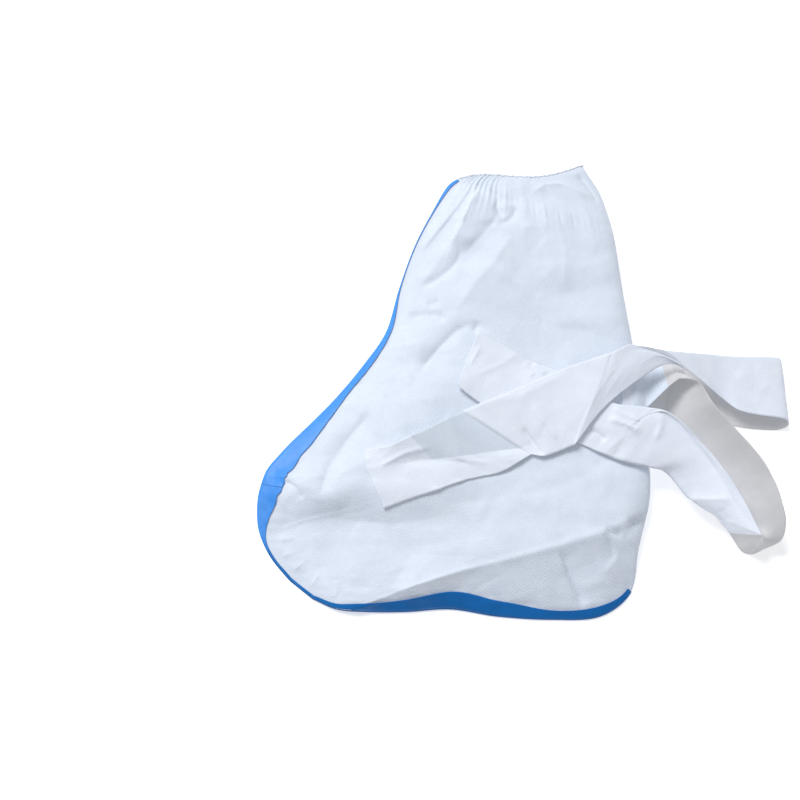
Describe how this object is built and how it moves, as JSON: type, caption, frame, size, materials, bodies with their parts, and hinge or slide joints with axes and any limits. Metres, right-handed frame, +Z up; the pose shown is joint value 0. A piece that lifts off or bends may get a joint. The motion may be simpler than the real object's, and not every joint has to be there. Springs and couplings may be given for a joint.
{
  "type": "boot cover",
  "caption": "Disposable non-woven boot cover lying on its side, open gathered leg, blue taped shin and sole seams, two flat ties",
  "frame": {"origin": "on the resting surface, under the middle of the ankle of the flat boot cover", "axes": "+X from the toe to the heel, +Y from the sole up the leg, +Z up from the resting surface"},
  "size_m": [0.5549, 0.5155, 0.065],
  "materials": {
    "nonwoven_white": "thin bluish white non-woven cloth with a fine embossed grain",
    "seam_tape_blue": "satin blue heat-seal film",
    "elastic_hem_white": "gathered white elastic hem",
    "tie_white": "soft white non-woven strip"
  },
  "bodies": {
    "root": {"boot_body": "nonwoven_white", "shin_tape": "seam_tape_blue", "sole_tape": "seam_tape_blue", "elastic_hem": "elastic_hem_white", "upper_tie": "tie_white", "under_tie": "tie_white"}
  },
  "joints": []
}
